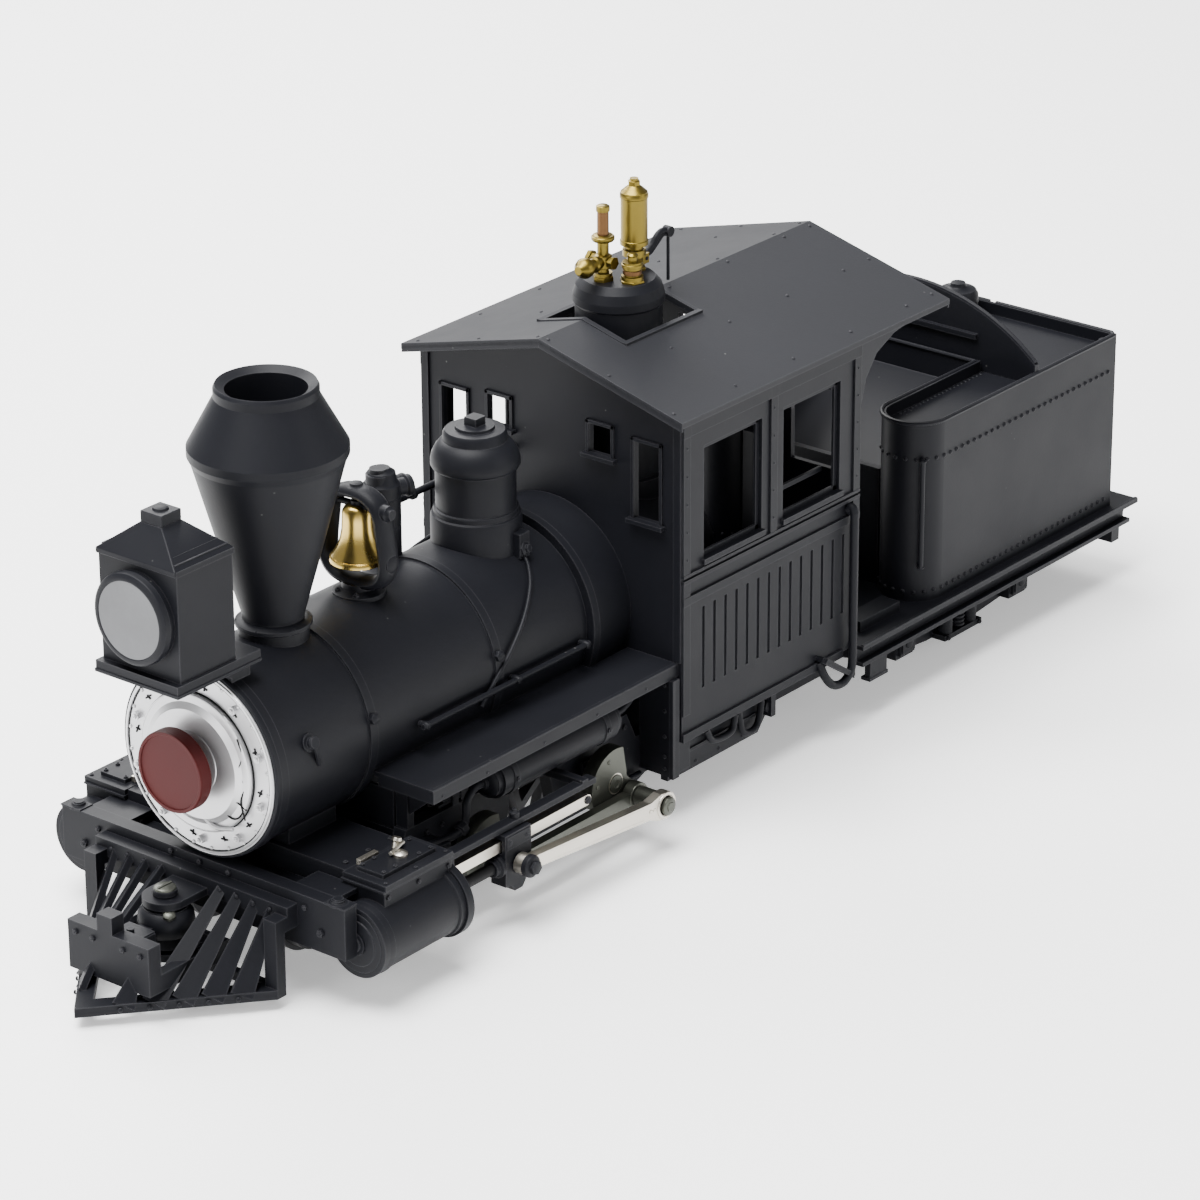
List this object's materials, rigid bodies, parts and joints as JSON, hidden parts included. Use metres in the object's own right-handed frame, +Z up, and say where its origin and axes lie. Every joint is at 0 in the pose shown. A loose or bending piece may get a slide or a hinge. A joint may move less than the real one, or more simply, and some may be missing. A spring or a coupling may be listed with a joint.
{
  "type": "model steam locomotive",
  "caption": "Outside-frame 2-4-4 tank locomotive model with turning wheels, coupled rods, sliding crossheads, swivelling trucks, swinging bell and an opening water hatch.",
  "frame": {"origin": "centre of the overall length and width, at the underside of the wheel flanges", "axes": "+X along the locomotive towards the rear of the tank, with the pilot at -X, +Y to the engine's right-hand side, +Z up"},
  "size_m": [0.2046, 0.0586, 0.0823],
  "materials": {
    "black_paint": "satin",
    "roof_paint": "matt",
    "smokebox_silver": "satin",
    "plate_red": "satin",
    "wheel_steel": "satin",
    "rod_nickel": "bright",
    "crank_metal": "blackened",
    "polished_brass": "polished",
    "valve_brass": "dull",
    "motor_can": "satin",
    "worm_brass": "machined",
    "gear_plastic": "moulded",
    "lamp_lens": "clear"
  },
  "bodies": {
    "engine": {"frame_left": "black_paint", "frame_right": "black_paint", "cylinder_saddle": "black_paint", "pilot_beam": "black_paint", "pilot": "black_paint", "running_boards": "black_paint", "air_reservoirs": "black_paint", "ash_pan": "black_paint", "deck": "black_paint", "upper_guides": "black_paint", "lower_guides": "rod_nickel", "cylinder_left": "black_paint", "cylinder_right": "black_paint", "motor": "motor_can", "boiler": "black_paint", "firebox": "black_paint", "smokebox_front": "smokebox_silver", "number_plate": "plate_red", "smokestack": "black_paint", "headlight": "black_paint", "headlight_lens": "lamp_lens", "sand_dome": "black_paint", "bell_stand": "black_paint", "steam_dome": "black_paint", "whistle": "valve_brass", "safety_valve": "valve_brass", "steam_turret": "black_paint", "handrails": "black_paint", "cab": "black_paint", "cab_roof": "roof_paint", "tank": "black_paint", "bunker_boards": "black_paint"},
    "main_driver": {"main_axle": "rod_nickel", "main_wheels": "wheel_steel", "main_crank_left": "crank_metal", "main_crank_right": "crank_metal", "axle_gear": "gear_plastic"},
    "front_driver": {"front_axle": "rod_nickel", "front_wheels": "wheel_steel", "front_crank_left": "crank_metal", "front_crank_right": "crank_metal"},
    "side_rod_left": {"side_rod_left": "rod_nickel"},
    "side_rod_right": {"side_rod_right": "rod_nickel"},
    "main_rod_left": {"main_rod_left": "rod_nickel"},
    "main_rod_right": {"main_rod_right": "rod_nickel"},
    "crosshead_left": {"crosshead_left": "black_paint", "piston_left": "rod_nickel"},
    "crosshead_right": {"crosshead_right": "black_paint", "piston_right": "rod_nickel"},
    "motor_shaft": {"motor_shaft": "worm_brass"},
    "pilot_truck": {"pilot_truck": "black_paint"},
    "pilot_wheelset": {"pilot_wheelset": "wheel_steel"},
    "rear_truck": {"rear_truck": "black_paint"},
    "truck_wheelset_front": {"truck_wheelset_front": "wheel_steel"},
    "truck_wheelset_rear": {"truck_wheelset_rear": "wheel_steel"},
    "bell": {"bell": "polished_brass"},
    "whistle_lever": {"whistle_lever": "valve_brass"},
    "tank_hatch": {"tank_hatch": "black_paint"},
    "front_coupler": {"front_coupler": "black_paint"},
    "rear_coupler": {"rear_coupler": "black_paint"}
  },
  "joints": [
    {"name": "main_driver_turn", "type": "hinge", "parent": "engine", "child": "main_driver", "pos_m": [-0.0196, 0, 0.0092], "axis": [0, 1, 0], "continuous": true},
    {"name": "front_driver_turn", "type": "hinge", "parent": "engine", "child": "front_driver", "pos_m": [-0.0456, 0, 0.0092], "axis": [0, 1, 0], "continuous": true},
    {"name": "side_rod_left_turn", "type": "hinge", "parent": "main_driver", "child": "side_rod_left", "pos_m": [-0.01677, -0.0217, 0.00682], "axis": [0, 1, 0], "continuous": true},
    {"name": "side_rod_right_turn", "type": "hinge", "parent": "main_driver", "child": "side_rod_right", "pos_m": [-0.01722, 0.0217, 0.01203], "axis": [0, 1, 0], "continuous": true},
    {"name": "main_rod_left_turn", "type": "hinge", "parent": "main_driver", "child": "main_rod_left", "pos_m": [-0.01677, -0.0264, 0.00682], "axis": [0, 1, 0], "continuous": true},
    {"name": "main_rod_right_turn", "type": "hinge", "parent": "main_driver", "child": "main_rod_right", "pos_m": [-0.01722, 0.0264, 0.01203], "axis": [0, 1, 0], "continuous": true},
    {"name": "crosshead_left_slide", "type": "slide", "parent": "engine", "child": "crosshead_left", "axis": [1, 0, 0], "range_m": [-0.0066, 0.0007]},
    {"name": "crosshead_right_slide", "type": "slide", "parent": "engine", "child": "crosshead_right", "axis": [1, 0, 0], "range_m": [-0.0062, 0.0011]},
    {"name": "motor_shaft_turn", "type": "hinge", "parent": "engine", "child": "motor_shaft", "pos_m": [-0.02, 0, 0.01585], "axis": [1, 0, 0], "continuous": true},
    {"name": "pilot_truck_swivel", "type": "hinge", "parent": "engine", "child": "pilot_truck", "pos_m": [-0.059, 0, 0.012], "axis": [0, 0, 1], "range_deg": [-5, 5]},
    {"name": "pilot_wheelset_turn", "type": "hinge", "parent": "pilot_truck", "child": "pilot_wheelset", "pos_m": [-0.0675, 0, 0.0056], "axis": [0, 1, 0], "continuous": true},
    {"name": "rear_truck_swivel", "type": "hinge", "parent": "engine", "child": "rear_truck", "pos_m": [0.0635, 0, 0.0095], "axis": [0, 0, 1], "range_deg": [-6, 6]},
    {"name": "truck_wheelset_front_turn", "type": "hinge", "parent": "rear_truck", "child": "truck_wheelset_front", "pos_m": [0.0492, 0, 0.0056], "axis": [0, 1, 0], "continuous": true},
    {"name": "truck_wheelset_rear_turn", "type": "hinge", "parent": "rear_truck", "child": "truck_wheelset_rear", "pos_m": [0.0778, 0, 0.0056], "axis": [0, 1, 0], "continuous": true},
    {"name": "bell_swing", "type": "hinge", "parent": "engine", "child": "bell", "pos_m": [-0.047, 0, 0.0533], "axis": [0, 1, 0], "range_deg": [-30, 30]},
    {"name": "whistle_lever_lift", "type": "hinge", "parent": "engine", "child": "whistle_lever", "pos_m": [0.0123, 0, 0.0705], "axis": [0, 1, 0], "range_deg": [-12, 12]},
    {"name": "tank_hatch_lift", "type": "hinge", "parent": "engine", "child": "tank_hatch", "pos_m": [0.096, 0.003, 0.04005], "axis": [0, 1, 0], "range_deg": [0, 95]},
    {"name": "front_coupler_swing", "type": "hinge", "parent": "engine", "child": "front_coupler", "pos_m": [-0.0852, 0, 0.008], "axis": [0, 0, 1], "range_deg": [-7, 7]},
    {"name": "rear_coupler_swing", "type": "hinge", "parent": "engine", "child": "rear_coupler", "pos_m": [0.091, 0, 0.007], "axis": [0, 0, 1], "range_deg": [-7, 7]}
  ],
  "couplings": [
    {"joint": "front_driver_turn", "follows": "main_driver_turn", "ratio": 1},
    {"joint": "side_rod_left_turn", "follows": "main_driver_turn", "ratio": -1},
    {"joint": "side_rod_right_turn", "follows": "main_driver_turn", "ratio": -1},
    {"joint": "main_rod_left_turn", "follows": "main_driver_turn", "ratio": -1},
    {"joint": "main_rod_right_turn", "follows": "main_driver_turn", "ratio": -1},
    {"joint": "motor_shaft_turn", "follows": "main_driver_turn", "ratio": 16}
  ]
}
